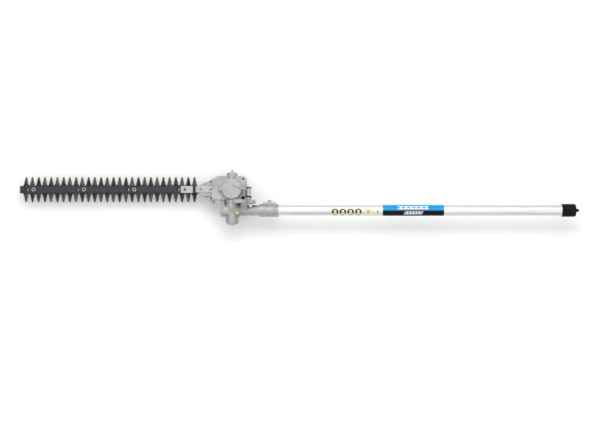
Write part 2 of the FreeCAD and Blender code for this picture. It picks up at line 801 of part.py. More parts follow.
def crank_cam(side, top_z):
    """An eccentric in one blade's plane."""
    disc = cyl(cam_r, blade_thick, at(side * stroke, crank_y, top_z - blade_thick), Z)
    return disc.cut(cyl(shaft_r, blade_thick, at(0, crank_y, top_z - blade_thick), Z))


def crank_bearings():
    low = bearing(at(0, crank_y, deck_top), Z, shaft_r + running)
    high = bearing(at(0, crank_y, cap_bearing_z), Z, shaft_r + running)
    return Part.makeCompound([low, high])


# ---- Cutter ----


def tooth_outline(inset):
    """Half of a tooth, from its flared root to its blunt tip. Inset leaves a bevel on the flank."""
    base, tip = tooth_base / 2, tooth_tip / 2
    flank = [(base + root_flare, spine_half - 2), (base + 1.3, spine_half + 1.6), (base, spine_half + 5)]
    flank += [(tip, tooth_reach - 1.3), (tip - 0.9, tooth_reach)]
    half = [(x - inset * min(1.0, max(0.0, (y - spine_half) / 5)) * min(1, x / 2), y) for x, y in flank]
    return half + [(-x, y) for x, y in reversed(half)]


def tooth(x, side, top_z):
    wires = []
    for z, inset in ((top_z - blade_thick, 0), (top_z, bevel_inset)):
        points = [at(x + dx, crank_y + side * dy, z) for dx, dy in tooth_outline(inset)]
        wires.append(Part.makePolygon(points + points[:1]))
    return Part.makeLoft(wires, True, True)


def bolt_places():
    return [bolt_first + bolt_pitch * k for k in range(bolt_count)]


def blade(top_z, side):
    """A reciprocating blade. Side is where the first tooth stands: the other edge is half a pitch ahead."""
    low = top_z - blade_thick
    spine = block(blade_left, tang_start + 1, crank_y - spine_half, crank_y + spine_half, low, top_z)
    tang = block(tang_start, fork_base, crank_y - tang_half, crank_y + tang_half, low, top_z)
    yoke = block(fork_base - 6, fork_base, crank_y - fork_half, crank_y + fork_half, low, top_z)
    shapes = [spine, tang, yoke]
    for edge in (-1, 1):
        y0, y1 = sorted((crank_y + edge * fork_inner, crank_y + edge * fork_half))
        shapes.append(block(fork_base - 6, 6, y0, y1, low, top_z))
    for k in range(teeth_per_side):
        shapes.append(tooth(first_tooth + pitch * k, side, top_z))
        shapes.append(tooth(first_tooth - pitch / 2 + pitch * k, -side, top_z))
    reach = stroke + spacer_r + slack
    half = spacer_r + slack - 0.1
    slot_from = eye_offset + half + 1
    return fused(shapes).cut([slot(x + slot_from, x + reach - half, crank_y, half, low, top_z)
                              for x in bolt_places()])


def guide_bar():
    y0, y1 = crank_y - guide_half, crank_y + guide_half
    low = guide_top_z - guide_thick
    bar = block(guide_left + guide_half, guide_right, y0, y1, low, guide_top_z)
    nose = cyl(guide_half, guide_thick, at(guide_left + guide_half, crank_y, low), Z)
    bar = bar.fuse(nose).removeSplitter()
    holes = [cyl(bolt_r, guide_thick, at(x, crank_y, low), Z) for x in bolt_places()]
    holes += [cyl(eye_r, guide_thick, at(x + eye_offset, crank_y, low), Z) for x in bolt_places()]
    holes += [cyl(bolt_r, guide_thick, at(x, crank_y, low), Z) for x, head in arm_screw_places()]
    return bar.cut(holes)


def guide_spacers():
    low = lower_bottom_z - air
    height = guide_top_z - guide_thick - low
    return Part.makeCompound([ring(spacer_r, bolt_r, height, at(x, crank_y, low), Z) for x in bolt_places()])


def guide_bolts():
    bolts = []
    for x in bolt_places():
        seat = guide_top_z + (zinc_thick if zinc_from < x < zinc_to else 0)
        length = seat - lower_bottom_z + air + 1.2 + 5.0
        bolts.append(socket_screw(4.4, 2.8, bolt_r, length, at(x, crank_y, seat), Z))
    return Part.makeCompound(bolts)


def guide_washers():
    low = lower_bottom_z - air - 1.2
    return Part.makeCompound([ring(6.5, bolt_r, 1.2, at(x, crank_y, low), Z) for x in bolt_places()])


def guide_nuts():
    low = lower_bottom_z - air - 1.2 - 4.0
    nuts = [hexagon(8, 4, at(x, crank_y, low), Z).cut(cyl(bolt_r, 4, at(x, crank_y, low), Z))
            for x in bolt_places()]
    return Part.makeCompound(nuts)


def zinc_plate():
    plate = block(zinc_from, zinc_to, crank_y - 8.2, crank_y + 8.2, guide_top_z, guide_top_z + zinc_thick)
    plate = plate.makeFillet(1.2, upright_edges(plate))
    holes = [cyl(bolt_r, zinc_thick, at(x, crank_y, guide_top_z), Z) for x in bolt_places()]
    return plate.cut(holes + [cyl(bolt_r + slack, zinc_thick, at(zinc_from + 10, crank_y, guide_top_z), Z)])


def main():
    model = {
        "pole_tube": pole_tube(),
        "shaft_bushes": shaft_bushes(),
        "end_cap": end_cap(),
        "pole_label": pole_label(),
        "icon_stickers": icon_stickers(),
        "drive_shaft": drive_shaft(),
        "input_pinion": input_pinion(),
        "input_bearings": input_bearings(),
        "pole_gearcase": pole_gearcase(),
        "clamp_bolts": clamp_bolts(),
        "locating_screw": locating_screw(),
        "end_cover": end_cover(),
        "twig_guard": twig_guard(),
        "twig_guard_screws": twig_guard_screws(),
        "boss_cap": boss_cap(),
        "boss_nut": boss_nut(),
        "grease_plug": grease_plug(),
        "thrust_washer": thrust_washer(),
        "swivel_clip": swivel_clip(),
        "index_plate": index_plate(),
        "index_plate_bolts": index_plate_bolts(),
        "swivel_shaft": swivel_shaft(),
        "swivel_bevel": swivel_bevel(),
        "head_pinion": head_pinion(),
        "swivel_bearings": swivel_bearings(),
        "head_gearcase": head_gearcase(),
        "arm_bar": arm_bar(),
        "arm_screws": arm_screws(),
        "base_cover": base_cover(),
        "case_screws": case_screws(),
        "cover_screws": cover_screws(),
        "wear_plate": wear_plate(),
        "crank_cap": crank_cap(),
        "top_cap": top_cap(),
        "grease_nipples": grease_nipples(),
        "rubber_plug": rubber_plug(),
        "lock_pin": lock_pin(),
        "lock_lever": lock_lever(),
        "plunger_barrel": plunger_barrel(),
        "plunger_nut": plunger_nut(),
        "plunger_boot": plunger_boot(),
        "plunger_spring": plunger_spring(),
        "crank_shaft": crank_shaft(),
        "crank_gear": crank_gear(),
        "upper_cam": crank_cam(1, upper_top_z),
        "lower_cam": crank_cam(-1, lower_top_z),
        "crank_bearings": crank_bearings(),
        "upper_blade": blade(upper_top_z, 1),
        "lower_blade": blade(lower_top_z, -1),
        "guide_bar": guide_bar(),
        "guide_spacers": guide_spacers(),
        "guide_bolts": guide_bolts(),
        "guide_washers": guide_washers(),
        "guide_nuts": guide_nuts(),
        "zinc_plate": zinc_plate(),
    }
    os.makedirs("parts", exist_ok=True)
    for node, shape in model.items():
        shape.exportStep("parts/" + node + ".step")


main()
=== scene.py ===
import json
import math

import bmesh
import bpy
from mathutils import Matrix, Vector

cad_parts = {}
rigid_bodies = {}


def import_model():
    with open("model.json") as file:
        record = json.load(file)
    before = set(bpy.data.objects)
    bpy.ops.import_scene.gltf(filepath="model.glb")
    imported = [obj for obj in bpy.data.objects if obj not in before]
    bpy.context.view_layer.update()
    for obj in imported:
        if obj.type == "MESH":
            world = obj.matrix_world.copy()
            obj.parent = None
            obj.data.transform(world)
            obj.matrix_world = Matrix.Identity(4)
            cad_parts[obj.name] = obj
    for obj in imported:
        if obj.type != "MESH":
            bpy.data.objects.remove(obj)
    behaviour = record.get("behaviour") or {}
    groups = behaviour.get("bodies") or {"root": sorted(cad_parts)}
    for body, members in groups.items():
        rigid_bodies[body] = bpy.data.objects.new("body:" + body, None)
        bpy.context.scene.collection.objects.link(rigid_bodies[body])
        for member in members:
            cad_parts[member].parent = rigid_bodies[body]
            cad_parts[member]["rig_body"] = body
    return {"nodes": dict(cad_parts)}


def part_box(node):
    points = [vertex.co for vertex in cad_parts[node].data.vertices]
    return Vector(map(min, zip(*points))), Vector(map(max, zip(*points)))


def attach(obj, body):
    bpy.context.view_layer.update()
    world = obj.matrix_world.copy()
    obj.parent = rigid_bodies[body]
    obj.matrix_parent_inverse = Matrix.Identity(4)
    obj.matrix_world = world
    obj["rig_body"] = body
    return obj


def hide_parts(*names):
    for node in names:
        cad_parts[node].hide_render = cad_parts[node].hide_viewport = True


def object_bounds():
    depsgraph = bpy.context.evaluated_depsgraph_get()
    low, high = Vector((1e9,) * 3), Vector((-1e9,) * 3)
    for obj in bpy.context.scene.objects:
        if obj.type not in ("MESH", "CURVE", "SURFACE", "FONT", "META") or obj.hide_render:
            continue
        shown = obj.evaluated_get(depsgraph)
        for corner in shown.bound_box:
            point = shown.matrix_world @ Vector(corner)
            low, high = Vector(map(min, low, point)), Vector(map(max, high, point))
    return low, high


bl_info = {
    "name": "Hedge trimmer attachment",
    "version": (1, 0, 0),
    "blender": (4, 5, 0),
    "location": "View3D > Sidebar > Trimmer",
    "description": "Builds the finishes, rounded pieces and studio of a pole hedge trimmer attachment",
    "category": "Object",
}

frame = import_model()
cad_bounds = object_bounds()
NODES = frame["nodes"]
MM = 0.001
WELD = 2e-6
FLAT_ANGLE = math.radians(1.0)
ROUND_ANGLE = math.radians(38.0)
SHADE_ANGLE = math.radians(32.0)


# ---- Sizes and colours that a user would change ----


def colour(name, description, default):
    return bpy.props.FloatVectorProperty(name=name, description=description, subtype="COLOR", size=3,
                                         min=0.0, max=1.0, default=default)


def length(name, description, default):
    return bpy.props.FloatProperty(name=name, description=description, default=default, min=0.0,
                                   subtype="DISTANCE", unit="LENGTH", precision=5)


class TrimmerSizes(bpy.types.PropertyGroup):
    """Edge radii and the camera's view."""
    cast_round: length("Casting edges", "Rounding on the edges of castings", 0.8 * MM)
    plate_round: length("Plate edges", "Rounding on the edges of sheet and bar", 0.35 * MM)
    screw_round: length("Fastener edges", "Rounding on screws and nuts", 0.22 * MM)
    rubber_round: length("Rubber edges", "Rounding on moulded rubber", 0.9 * MM)
    view_width: length("Width in view", "How much of the bench the camera sees across", 1.4345)
    camera_distance: length("Camera distance", "From the lens to the middle of the view", 4.2)


class TrimmerColours(bpy.types.PropertyGroup):
    """Base colours of the finishes."""
    cast: colour("Cast aluminium", "Sand-cast and blasted aluminium", (0.43, 0.428, 0.418))
    cap: colour("Machined cap", "Turned aluminium of the crank cap", (0.42, 0.43, 0.445))
    tube: colour("Tube", "Drawn and anodised aluminium", (0.74, 0.75, 0.76))
    zinc: colour("Zinc plate", "Bright zinc on screws and bars", (0.50, 0.502, 0.50))
    blade: colour("Lower blade", "Oiled black steel", (0.022, 0.020, 0.018))
    blade_top: colour("Upper blade", "Blackened steel of the upper blade", (0.050, 0.047, 0.044))
    ground: colour("Ground edge", "Steel where the tooth bevels are ground", (0.16, 0.155, 0.15))
    guide: colour("Guide bar", "Dark blue-grey coating", (0.035, 0.038, 0.052))
    steel: colour("Gear steel", "Hardened steel of shafts and gears", (0.32, 0.32, 0.33))
    brass: colour("Brass", "Brass of the grease fittings", (0.60, 0.50, 0.24))
    rubber: colour("Rubber", "Black moulded rubber", (0.005, 0.005, 0.005))
    black: colour("Black oxide", "Blackened fasteners", (0.018, 0.018, 0.019))
    nylon: colour("Nylon", "Natural nylon of the bushes", (0.72, 0.70, 0.62))
    label_blue: colour("Label blue", "The label's blue half", (0.0, 0.31, 0.66))
    label_black: colour("Label black", "The label's black half", (0.003, 0.003, 0.004))
    label_accent: colour("Label accent", "Thin stripe under the light bar", (0.75, 0.28, 0.06))
    icon_cream: colour("Sticker cream", "Ground of the stickers", (0.80, 0.72, 0.40))
    floor: colour("Floor", "Plain pale studio floor", (0.93, 0.93, 0.93))


def sizes():
    return bpy.context.scene.trimmer_sizes


def colours():
    return bpy.context.scene.trimmer_colours


# ---- Shared effects ----


def effect(name, inputs, outputs):
    """An empty shader node group with named sockets: (name, socket type, default) in, (name, type) out."""
    tree = bpy.data.node_groups.new(name, "ShaderNodeTree")
    for label, kind, default in inputs:
        socket = tree.interface.new_socket(name=label, in_out="INPUT", socket_type=kind)
        if default is not None:
            socket.default_value = default
    for label, kind in outputs:
        tree.interface.new_socket(name=label, in_out="OUTPUT", socket_type=kind)
    return tree, tree.nodes.new("NodeGroupInput"), tree.nodes.new("NodeGroupOutput")


def feed(tree, socket, value):
    """Set a socket to a number, or link it to another socket."""
    if isinstance(value, (int, float)):
        socket.default_value = value
    else:
        tree.links.new(value, socket)


def noise(tree, vector, scale, detail=3.0, roughness=0.55):
    node = tree.nodes.new("ShaderNodeTexNoise")
    feed(tree, node.inputs["Scale"], scale)
    node.inputs["Detail"].default_value = detail
    node.inputs["Roughness"].default_value = roughness
    tree.links.new(vector, node.inputs["Vector"])
    return node.outputs["Fac"]


def maths(tree, operation, a, b=0.0, clamp=False):
    node = tree.nodes.new("ShaderNodeMath")
    node.operation = operation
    node.use_clamp = clamp
    feed(tree, node.inputs[0], a)
    feed(tree, node.inputs[1], b)
    return node.outputs[0]


def spread(tree, value, low, high, to_low=0.0, to_high=1.0):
    node = tree.nodes.new("ShaderNodeMapRange")
    feed(tree, node.inputs["From Min"], low)
    feed(tree, node.inputs["From Max"], high)
    feed(tree, node.inputs["To Min"], to_low)
    feed(tree, node.inputs["To Max"], to_high)
    tree.links.new(value, node.inputs["Value"])
    return node.outputs["Result"]


def stretch(tree, vector, scale):
    node = tree.nodes.new("ShaderNodeMapping")
    node.vector_type = "POINT"
    node.inputs["Scale"].default_value = scale
    tree.links.new(vector, node.inputs["Vector"])
    return node.outputs["Vector"]


def mix(tree, mask, a, b):
    """Blend two colours, each a socket or three numbers."""
    node = tree.nodes.new("ShaderNodeMix")
    node.data_type = "RGBA"
    for socket, value in ((node.inputs[0], mask), (node.inputs[6], a), (node.inputs[7], b)):
        if isinstance(value, (int, float)):
            socket.default_value = value
        elif isinstance(value, bpy.types.NodeSocket):
            tree.links.new(value, socket)
        else:
            socket.default_value = (*value, 1.0)
    return node.outputs[2]


def cast_effect():
    """Sand-cast skin: fine grit, shallow hollows and a faint mottle."""
    tree, given, out = effect("Cast skin", [("Vector", "NodeSocketVector", None),
                                            ("Grit", "NodeSocketFloat", 1.0)],
                              [("Height", "NodeSocketFloat"), ("Mottle", "NodeSocketFloat")])
    place = given.outputs["Vector"]
    grit = noise(tree, place, 1500.0, 4.0, 0.7)
    hollows = noise(tree, place, 260.0, 2.0)
    height = maths(tree, "MULTIPLY_ADD", grit, given.outputs["Grit"])
    tree.links.new(hollows, height.node.inputs[2])
    tree.links.new(height, out.inputs["Height"])
    tree.links.new(spread(tree, noise(tree, place, 75.0, 5.0, 0.6), 0.35, 0.68), out.inputs["Mottle"])
    return tree


def lines_effect():
    """Fine lines left by drawing, grinding or brushing, along the axis that the vector stretches least."""
    tree, given, out = effect("Drawn lines", [("Vector", "NodeSocketVector", None)],
                              [("Lines", "NodeSocketFloat"), ("Bands", "NodeSocketFloat")])
    place = given.outputs["Vector"]
    tree.links.new(noise(tree, place, 1.0, 5.0, 0.7), out.inputs["Lines"])
    tree.links.new(spread(tree, noise(tree, place, 0.17, 2.0), 0.3, 0.7), out.inputs["Bands"])
    return tree


def wear_effect():
    """Scuffs, dust and handling marks as a patchy mask."""
    tree, given, out = effect("Handling marks", [("Vector", "NodeSocketVector", None),
                                                 ("Size", "NodeSocketFloat", 60.0)],
                              [("Marks", "NodeSocketFloat"), ("Dust", "NodeSocketFloat")])
    place = given.outputs["Vector"]
    patches = noise(tree, place, given.outputs["Size"], 6.0, 0.72)
    tree.links.new(spread(tree, patches, 0.56, 0.72), out.inputs["Marks"])
    tree.links.new(spread(tree, noise(tree, place, 24.0, 4.0), 0.4, 0.75), out.inputs["Dust"])
    return tree


def edge_effect():
    """Where handling has rubbed the rounded edges: broken patches, stronger with a larger share."""
    tree, given, out = effect("Rubbed edges", [("Vector", "NodeSocketVector", None),
                                               ("Edge", "NodeSocketFloat", 0.0),
                                               ("Share", "NodeSocketFloat", 0.6)],
                              [("Rubbed", "NodeSocketFloat")])
    patches = spread(tree, noise(tree, given.outputs["Vector"], 160.0, 5.0, 0.65), 0.30, 0.62)
    rubbed = maths(tree, "MULTIPLY", given.outputs["Edge"], given.outputs["Share"])
    tree.links.new(maths(tree, "MULTIPLY", rubbed, patches, True), out.inputs["Rubbed"])
    return tree


EFFECTS = {
    "Cast skin": cast_effect,
    "Drawn lines": lines_effect,
    "Handling marks": wear_effect,
    "Rubbed edges": edge_effect,
}


def use_effect(tree, name, vector, **values):
    """Place a shared effect in a material, building it the first time."""
    node = tree.nodes.new("ShaderNodeGroup")
    node.node_tree = bpy.data.node_groups.get(name) or EFFECTS[name]()
    tree.links.new(vector, node.inputs["Vector"])
    for label, value in values.items():
        node.inputs[label].default_value = value
    return node.outputs


def rubbed_edges(tree, place, share):
    """The mask of rubbed edges. A piece marks its rounded edges in its face layer called edge."""
    edge = tree.nodes.new("ShaderNodeAttribute")
    edge.attribute_name = "edge"
    outputs = use_effect(tree, "Rubbed edges", place, Share=share)
    tree.links.new(edge.outputs["Fac"], outputs["Rubbed"].node.inputs["Edge"])
    return outputs["Rubbed"]


# ---- Finishes ----


def finish(name, metallic, coat=0.0, specular=0.5):
    """A new material with its Principled shader and the piece's own coordinates, in metres."""
    material = bpy.data.materials.new(name)
    material.use_nodes = True
    tree = material.node_tree
    shader = tree.nodes["Principled BSDF"]
    shader.inputs["Metallic"].default_value = metallic
    shader.inputs["Coat Weight"].default_value = coat
    shader.inputs["Coat Roughness"].default_value = 0.12
    shader.inputs["Specular IOR Level"].default_value = specular
    place = tree.nodes.new("ShaderNodeTexCoord").outputs["Object"]
    return material, tree, shader, place


def bump(tree, shader, height, strength, distance):
    node = tree.nodes.new("ShaderNodeBump")
    node.inputs["Strength"].default_value = strength
    node.inputs["Distance"].default_value = distance
    tree.links.new(height, node.inputs["Height"])
    tree.links.new(node.outputs["Normal"], shader.inputs["Normal"])


def darker(value, share):
    return tuple(channel * share for channel in value)


def cast_finish(name, tone, grit=1.0, rough=(0.42, 0.62)):
    material, tree, shader, place = finish(name, 0.85)
    skin = use_effect(tree, "Cast skin", place, Grit=grit)
    marks = use_effect(tree, "Handling marks", place, Size=90.0)
    toned = mix(tree, skin["Mottle"], darker(tone, 0.84), darker(tone, 1.12))
    grimy = mix(tree, maths(tree, "MULTIPLY", marks["Dust"], 0.25), toned, darker(tone, 0.62))
    handled = mix(tree, maths(tree, "MULTIPLY", marks["Marks"], 0.5), grimy, darker(tone, 1.25))
    tree.links.new(mix(tree, rubbed_edges(tree, place, 0.8), handled, darker(tone, 1.5)),
                   shader.inputs["Base Color"])
    tree.links.new(spread(tree, skin["Mottle"], 0.0, 1.0, rough[1], rough[0]), shader.inputs["Roughness"])
    bump(tree, shader, skin["Height"], 0.35 * grit, 0.22 * MM)
    return material


def lined_finish(name, tone, scale, metallic=1.0, rough=(0.24, 0.40), depth=0.15, marks_share=0.35,
                 coat=0.0, bare=None):
    """Metal with lines from drawing or brushing, which run along the axis with the smallest scale."""
    material, tree, shader, place = finish(name, metallic, coat)
    lines = use_effect(tree, "Drawn lines", stretch(tree, place, scale))
    marks = use_effect(tree, "Handling marks", place, Size=70.0)
    toned = mix(tree, lines["Bands"], darker(tone, 0.90), darker(tone, 1.06))
    marked = mix(tree, maths(tree, "MULTIPLY", marks["Marks"], marks_share), toned, darker(tone, 0.72))
    bare = bare or darker(tone, 1.15)
    rubbed = mix(tree, rubbed_edges(tree, place, 0.7), marked, bare)
    # Painted shade: faces that the socket layer marks (the screws' key sockets) are blended almost to
    # black, standing in for the shade in the recess.
    grime = tree.nodes.new("ShaderNodeAttribute")
    grime.attribute_name = "grime"
    socket_shade_share = maths(tree, "MULTIPLY", grime.outputs["Fac"], 0.96)
    tree.links.new(mix(tree, socket_shade_share, rubbed, (0.01, 0.01, 0.01)), shader.inputs["Base Color"])
    worn = maths(tree, "MULTIPLY_ADD", marks["Marks"], 0.10)
    tree.links.new(spread(tree, lines["Lines"], 0.3, 0.7, rough[0], rough[1]), worn.node.inputs[2])
    tree.links.new(worn, shader.inputs["Roughness"])
    bump(tree, shader, lines["Lines"], depth, 0.05 * MM)
    return material


def blade_finish(name, tone, bare):
    """Blackened steel: the slanted bevels show the grinding, across each tooth."""
    material, tree, shader, place = finish(name, 0.9)
    lines = use_effect(tree, "Drawn lines", stretch(tree, place, (2600.0, 320.0, 320.0)))
    marks = use_effect(tree, "Handling marks", place, Size=120.0)
    normal = tree.nodes.new("ShaderNodeTexCoord").outputs["Normal"]
    parts = tree.nodes.new("ShaderNodeSeparateXYZ")
    tree.links.new(normal, parts.inputs[0])
    upward = maths(tree, "ABSOLUTE", parts.outputs["Z"])
    slanted = maths(tree, "MULTIPLY", spread(tree, upward, 0.25, 0.45), spread(tree, upward, 0.97, 0.90))
    black = mix(tree, lines["Bands"], darker(tone, 0.7), darker(tone, 1.3))
    oiled = mix(tree, maths(tree, "MULTIPLY", marks["Marks"], 0.6), black, darker(bare, 0.55))
    streaked = mix(tree, lines["Lines"], darker(bare, 0.75), darker(bare, 1.25))
    tree.links.new(mix(tree, slanted, oiled, streaked), shader.inputs["Base Color"])
    tree.links.new(spread(tree, lines["Lines"], 0.3, 0.7, 0.30, 0.50), shader.inputs["Roughness"])
    bump(tree, shader, lines["Lines"], 0.18, 0.06 * MM)
    return material


def rubber_finish(name, tone):
    material, tree, shader, place = finish(name, 0.0, specular=0.12)
    skin = use_effect(tree, "Cast skin", place, Grit=0.7)
    marks = use_effect(tree, "Handling marks", place, Size=45.0)
    dusty = mix(tree, maths(tree, "MULTIPLY", marks["Dust"], 0.25), tone, (0.022, 0.021, 0.020))
    tree.links.new(mix(tree, maths(tree, "MULTIPLY", marks["Marks"], 0.2), dusty, (0.04, 0.039, 0.037)),
                   shader.inputs["Base Color"])
    tree.links.new(spread(tree, skin["Mottle"], 0.0, 1.0, 0.52, 0.72), shader.inputs["Roughness"])
    bump(tree, shader, skin["Height"], 0.30, 0.12 * MM)
    return material


def nylon_finish(name, tone):
    material, tree, shader, place = finish(name, 0.0)
    skin = use_effect(tree, "Cast skin", place, Grit=0.3)
    tree.links.new(mix(tree, skin["Mottle"], darker(tone, 0.9), tone), shader.inputs["Base Color"])
    tree.links.new(spread(tree, skin["Mottle"], 0.0, 1.0, 0.35, 0.5), shader.inputs["Roughness"])
    bump(tree, shader, skin["Height"], 0.1, 0.05 * MM)
    return material


def inside(tree, value, low, high, edge=0.15 * MM):
    """1 where the value lies between two limits, with a soft printed edge."""
    rising = spread(tree, value, low - edge, low + edge)
    falling = spread(tree, value, high + edge, high - edge)
    return maths(tree, "MULTIPLY", rising, falling)


def coordinates(tree, place):
    parts = tree.nodes.new("ShaderNodeSeparateXYZ")
    tree.links.new(place, parts.inputs[0])
    return parts.outputs["X"], parts.outputs["Y"]


def rectangle(tree, x, y, left, right, bottom, top):
    return maths(tree, "MULTIPLY", inside(tree, x, left, right), inside(tree, y, bottom, top))


def repeated(tree, value, pitch):
    """Runs from 0 to 1 within each pitch."""
    return maths(tree, "FRACT", maths(tree, "DIVIDE", value, pitch))


def length_of(tree, x, y):
    squares = [maths(tree, "MULTIPLY", side, side) for side in (x, y)]
    return maths(tree, "SQRT", maths(tree, "ADD", *squares))


def printed_film(name, specular, draw, soil, soil_share, marks_size, rough):
    """Smooth printed film with a few handling marks. Draw gives its print."""
    material, tree, shader, place = finish(name, 0.0, specular=specular)
    base = draw(tree, *coordinates(tree, place))
    marks = use_effect(tree, "Handling marks", place, Size=marks_size)
    soiled = mix(tree, maths(tree, "MULTIPLY", marks["Marks"], soil_share), base, soil)
    tree.links.new(soiled, shader.inputs["Base Color"])
    tree.links.new(spread(tree, marks["Dust"], 0.0, 1.0, *rough), shader.inputs["Roughness"])
    return material


def label_print(tree, x, y):
    """Blue on one side and black on the other, with plain bars in place of any mark."""
    tones = colours()
    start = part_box("pole_label")[0][0]
    light = (0.86, 0.87, 0.88)
    bar_start, bar_end = start + 36 * MM, start + 109 * MM
    block_pitch, slash_pitch = 12.2 * MM, 7.2 * MM
    base = mix(tree, spread(tree, y, -0.7 * MM, -0.5 * MM), tones.label_black, tones.label_blue)
    bar = rectangle(tree, x, y, bar_start, bar_end, 2.6 * MM, 9.4 * MM)
    base = mix(tree, bar, base, light)
    gaps = inside(tree, repeated(tree, x, block_pitch), 0.14, 0.86, 0.01)
    blocks = maths(tree, "MULTIPLY", gaps, inside(tree, y, 4.4 * MM, 7.6 * MM))
    base = mix(tree, maths(tree, "MULTIPLY", bar, blocks), base, tones.label_blue)
    stripe = rectangle(tree, x, y, bar_start, bar_end, 0.8 * MM, 1.9 * MM)
    base = mix(tree, stripe, base, tones.label_accent)
    slanted = maths(tree, "MULTIPLY_ADD", y, -0.55)
    tree.links.new(x, slanted.node.inputs[2])
    wedge = rectangle(tree, slanted, y, start + 55 * MM, start + 98 * MM, -9.6 * MM, -3.2 * MM)
    base = mix(tree, wedge, base, light)
    cuts = inside(tree, repeated(tree, slanted, slash_pitch), 0.2, 0.72, 0.02)
    slashes = maths(tree, "MULTIPLY", cuts, inside(tree, y, -8.2 * MM, -4.6 * MM))
    return mix(tree, maths(tree, "MULTIPLY", wedge, slashes), base, tones.label_black)


def sticker_print(tree, x, y):
    """A rim, a ball and a bar on each round sticker, and a dot or a stem on the last two."""
    tones = colours()
    pitch, disc_r, mid_y = 18.5 * MM, 8.2 * MM, -3.6 * MM
    ball_up, ball_r = 1.4 * MM, 3.4 * MM
    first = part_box("icon_stickers")[0][0] + disc_r
    row_start = first - pitch / 2
    cell = repeated(tree, maths(tree, "SUBTRACT", x, row_start), pitch)
    across = maths(tree, "MULTIPLY", maths(tree, "SUBTRACT", cell, 0.5), pitch)
    along = maths(tree, "SUBTRACT", y, mid_y)
    ball_reach = length_of(tree, across, maths(tree, "SUBTRACT", along, ball_up))
    ball = inside(tree, ball_reach, -1.0, ball_r)
    bar = rectangle(tree, across, along, -4.6 * MM, 4.6 * MM, -6.2 * MM, -2.6 * MM)
    rim = inside(tree, length_of(tree, across, along), 7.3 * MM, 7.7 * MM, 0.1 * MM)
    shape = maths(tree, "MAXIMUM", ball, bar)
    round_mark = mix(tree, maths(tree, "MAXIMUM", shape, rim), tones.label_black, tones.icon_cream)
    square_mid, peak = first + 4.3 * pitch, first + 5.5 * pitch
    dot = rectangle(tree, x, y, square_mid - 3.4 * MM, square_mid + 3.4 * MM, -7.4 * MM, -0.4 * MM)
    stem = rectangle(tree, x, y, peak - 0.9 * MM, peak + 0.9 * MM, -8.4 * MM, -1.4 * MM)
    pale_shapes = maths(tree, "MAXIMUM", maths(tree, "MULTIPLY", dot, 0.45), stem)
    flat_mark = mix(tree, pale_shapes, tones.icon_cream, tones.label_black)
    row_end = row_start + 4 * pitch
    return mix(tree, spread(tree, x, row_end, row_end + 0.2 * MM), round_mark, flat_mark)


def make_finish(name):
    """Build one named finish the first time that a piece needs it."""
    tones = colours()
    makers = {
        "Cast aluminium": lambda n: cast_finish(n, tones.cast),
        "Machined cap": lambda n: cast_finish(n, tones.cap, 0.35, (0.30, 0.44)),
        "Drawn tube": lambda n: lined_finish(n, tones.tube, (25.0, 1500.0, 1500.0), rough=(0.26, 0.38),
                                             depth=0.05, marks_share=0.12),
        "Bright zinc": lambda n: lined_finish(n, tones.zinc, (500.0, 500.0, 500.0), rough=(0.22, 0.36),
                                              depth=0.08, marks_share=0.3),
        "Machined rim": lambda n: lined_finish(n, tones.zinc, (90.0, 90.0, 1500.0), rough=(0.16, 0.28)),
        "Lower blade steel": lambda n: blade_finish(n, tones.blade, darker(tones.ground, 0.7)),
        "Upper blade steel": lambda n: blade_finish(n, tones.blade_top, tones.ground),
        "Guide coating": lambda n: lined_finish(n, tones.guide, (45.0, 2200.0, 2200.0), 0.6, (0.30, 0.48),
                                                0.2, 0.3, 0.15, tones.ground),
        "Gear steel": lambda n: lined_finish(n, tones.steel, (300.0, 900.0, 900.0), rough=(0.25, 0.42)),
        "Brass": lambda n: lined_finish(n, tones.brass, (700.0, 700.0, 700.0), rough=(0.22, 0.40)),
        "Black oxide": lambda n: lined_finish(n, tones.black, (400.0, 400.0, 400.0), 0.5, (0.35, 0.55),
                                              bare=tones.ground),
        "Rubber": lambda n: rubber_finish(n, tones.rubber),
        "Nylon": lambda n: nylon_finish(n, tones.nylon),
        "Label film": lambda n: printed_film(n, 0.15, label_print, (0.4, 0.4, 0.4), 0.10, 60.0,
                                             (0.24, 0.36)),
        "Sticker film": lambda n: printed_film(n, 0.2, sticker_print, (0.3, 0.3, 0.28), 0.12, 80.0,
                                               (0.26, 0.40)),
    }
    return bpy.data.materials.get(name) or makers[name](name)


# ---- Pieces ----

# node, finish, and which size rounds its edges
POLE_PIECES = [
    ("pole_tube", "Drawn tube", "screw_round"),
    ("pole_label", "Label film", None),
    ("icon_stickers", "Sticker film", None),
]
GEARCASE_PIECES = [
    ("pole_gearcase", "Cast aluminium", "cast_round"),
    ("end_cover", "Cast aluminium", "plate_round"),
    ("boss_cap", "Machined cap", "plate_round"),
    ("twig_guard", "Machined rim", "plate_round"),
    ("index_plate", "Machined rim", "plate_round"),
    ("thrust_washer", "Gear steel", None),
]
HEAD_PIECES = [
    ("head_gearcase", "Cast aluminium", "cast_round"),
    ("base_cover", "Cast aluminium", "cast_round"),
    ("crank_cap", "Machined cap", "plate_round"),
    ("top_cap", "Cast aluminium", "plate_round"),
    ("arm_bar", "Bright zinc", "plate_round"),
]
LOCK_PIECES = [
    ("lock_lever", "Cast aluminium", "plate_round"),
    ("lock_pin", "Bright zinc", "screw_round"),
    ("plunger_barrel", "Bright zinc", "screw_round"),
    ("plunger_nut", "Black oxide", "screw_round"),
    ("plunger_boot", "Rubber", "plate_round"),
]
